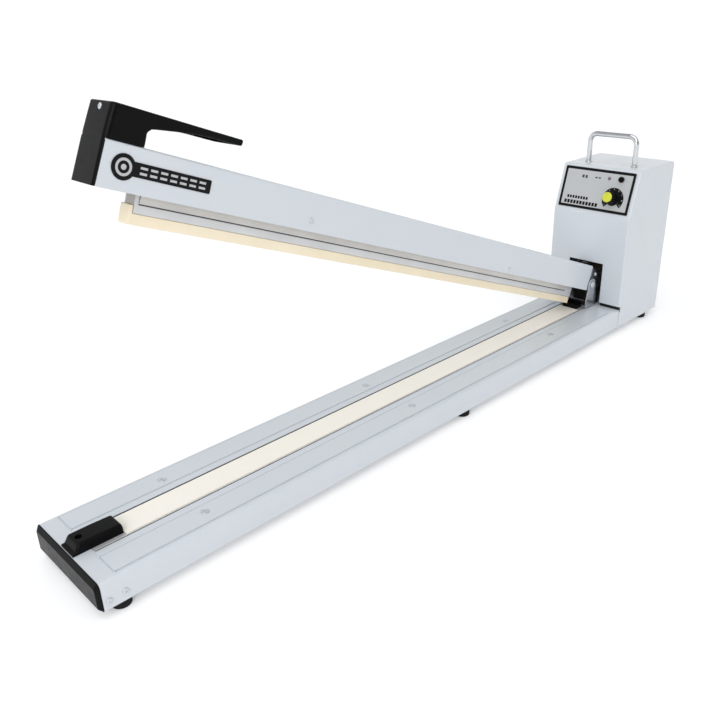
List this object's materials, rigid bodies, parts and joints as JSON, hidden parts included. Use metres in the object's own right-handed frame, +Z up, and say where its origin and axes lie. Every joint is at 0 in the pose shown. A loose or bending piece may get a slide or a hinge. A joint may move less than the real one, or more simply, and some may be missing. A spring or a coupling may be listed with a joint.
{
  "type": "impulse heat sealer",
  "caption": "Long-arm impulse heat sealer: heated sealing bar on a flat base, sprung pressing arm with a grip, and a control box with timer knob and carrying handle.",
  "frame": {"origin": "on the floor, under the middle of the bounding box", "axes": "+X along the base from the grip end towards the control box, +Y across the base, +Z up"},
  "size_m": [1.176, 0.1528, 0.4962],
  "materials": {
    "paint": "semi-gloss light blue-grey powder paint",
    "black_plastic": "satin moulded black",
    "rubber": "matte black",
    "aluminium": "satin extruded",
    "stainless": "brushed",
    "steel": "plated sheet",
    "zinc": "zinc plated",
    "chrome": "polished",
    "cloth": "non-stick coated glass cloth",
    "silicone": "cream silicone rubber",
    "brass": "machined",
    "nichrome": "flat resistance ribbon",
    "label_silver": "printed silver film",
    "label_black": "printed black film",
    "yellow": "moulded yellow",
    "lens": "dark red lens",
    "core_steel": "varnished laminations",
    "winding": "taped winding",
    "board": "circuit board"
  },
  "bodies": {
    "base": {"base_channel": "paint", "front_end_cap": "black_plastic", "bottom_plate": "zinc", "foot_front_near": "rubber", "foot_front_far": "rubber", "foot_middle_near": "rubber", "foot_middle_far": "rubber", "foot_rear_near": "rubber", "foot_rear_far": "rubber", "sealing_bar": "aluminium", "heating_wire": "nichrome", "cloth_cover": "cloth", "front_clamp_cover": "black_plastic", "rear_clamp_cover": "black_plastic", "front_terminal": "brass", "panel_screw_1": "zinc", "panel_screw_2": "zinc", "panel_screw_3": "zinc", "panel_screw_4": "zinc", "panel_screw_5": "zinc", "panel_screw_6": "zinc", "side_screw_1": "zinc", "side_screw_2": "zinc", "side_screw_3": "zinc", "side_screw_4": "zinc", "hinge_bracket": "steel", "hinge_pin": "zinc", "arm_stop": "rubber", "control_box": "paint", "rear_cover": "paint", "rear_screw_near": "zinc", "rear_screw_far": "zinc", "cord_gland": "black_plastic", "carry_handle": "chrome", "transformer_core": "core_steel", "transformer_coil": "winding", "circuit_board": "board", "microswitch": "black_plastic", "return_spring": "zinc", "control_label": "label_silver", "fuse_holder": "black_plastic", "indicator_lamp": "lens", "potentiometer": "zinc", "tension_spring": "zinc"},
    "arm": {"arm_channel": "paint", "arm_handle": "black_plastic", "handle_screw": "zinc", "presser_rail": "stainless", "arm_bracket": "steel", "arm_screw_front": "zinc", "arm_screw_rear": "zinc", "arm_label": "label_black", "presser_spring_front": "zinc", "presser_spring_rear": "zinc"},
    "presser": {"presser_bar": "aluminium", "silicone_strip": "silicone"},
    "knob": {"timer_knob": "black_plastic", "knob_cap": "yellow"},
    "switch_lever": {"switch_lever": "zinc"},
    "wire_tensioner": {"rear_terminal": "brass"}
  },
  "joints": [
    {"name": "arm_hinge", "type": "hinge", "parent": "base", "child": "arm", "pos_m": [0.42, 0, 0.089], "axis": [0, -1, 0], "range_deg": [0, 20.9], "stiffness_Nm_per_rad": 14, "springref_deg": -63.03, "deforming": ["return_spring"]},
    {"name": "presser_float", "type": "slide", "parent": "arm", "child": "presser", "axis": [0.3567, 0, 0.9342], "range_m": [0, 0.004], "stiffness_N_per_m": 8000, "springref_m": -0.004, "deforming": ["presser_spring_front", "presser_spring_rear"]},
    {"name": "timer_knob_turn", "type": "hinge", "parent": "base", "child": "knob", "pos_m": [0.44855, -0.0355, 0.24363], "axis": [-0.9597, 0, 0.2809], "range_deg": [-150, 150]},
    {"name": "switch_lever_swing", "type": "hinge", "parent": "base", "child": "switch_lever", "pos_m": [0.4665, 0, 0.1124], "axis": [0, -1, 0], "range_deg": [0, 15.1]},
    {"name": "wire_tension", "type": "slide", "parent": "base", "child": "wire_tensioner", "axis": [1, 0, 0], "range_m": [0, 0.002], "stiffness_N_per_m": 2000, "springref_m": -0.002, "deforming": ["tension_spring"]}
  ],
  "couplings": [
    {"joint": "switch_lever_swing", "follows": "arm_hinge", "ratio": 0.72}
  ]
}
